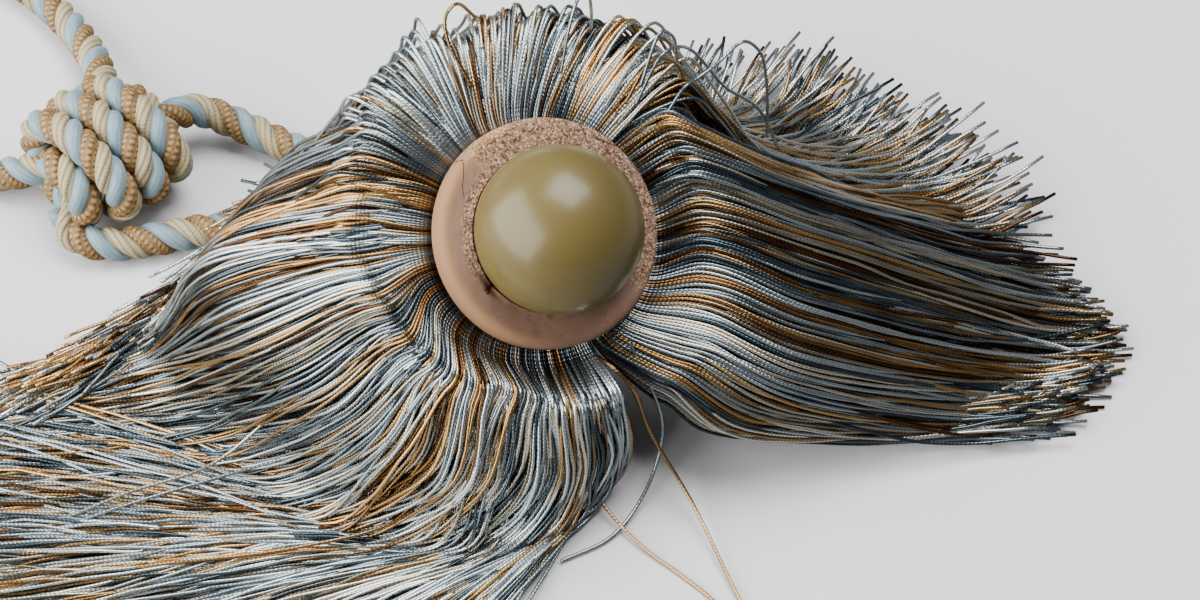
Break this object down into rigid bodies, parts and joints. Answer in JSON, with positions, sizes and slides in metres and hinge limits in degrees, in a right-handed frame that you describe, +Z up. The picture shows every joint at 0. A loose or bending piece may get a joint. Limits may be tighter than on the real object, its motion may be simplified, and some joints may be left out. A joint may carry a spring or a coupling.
{
  "type": "curtain tieback tassel",
  "caption": "Curtain tieback tassel lying head down, its yarn skirt folded out round a wood disc with a ball knob, on a laid rope with a knot and loop.",
  "frame": {"origin": "middle of the small flat spot under the head, where it rests on the table", "axes": "+Z up from the table; +X along the wide spread of the skirt; -Y the side that the disc and ball lean towards"},
  "size_m": [0.4102, 0.2535, 0.0813],
  "materials": {
    "disc": "raw turned beech, open pores",
    "ball": "olive gloss lacquer on turned wood",
    "head": "satin yarn wound over a turned wood mould",
    "skirt": "satin rayon yarns in blue, cream and golden brown",
    "rope": "three laid strands in light blue, cream and gold"
  },
  "bodies": {
    "root": {"disc": "disc", "ball": "ball", "head": "head", "skirt": "skirt", "rope_lead_back": "rope", "rope_lead_front": "rope", "knot": "rope", "rope_loop": "rope"}
  },
  "joints": []
}
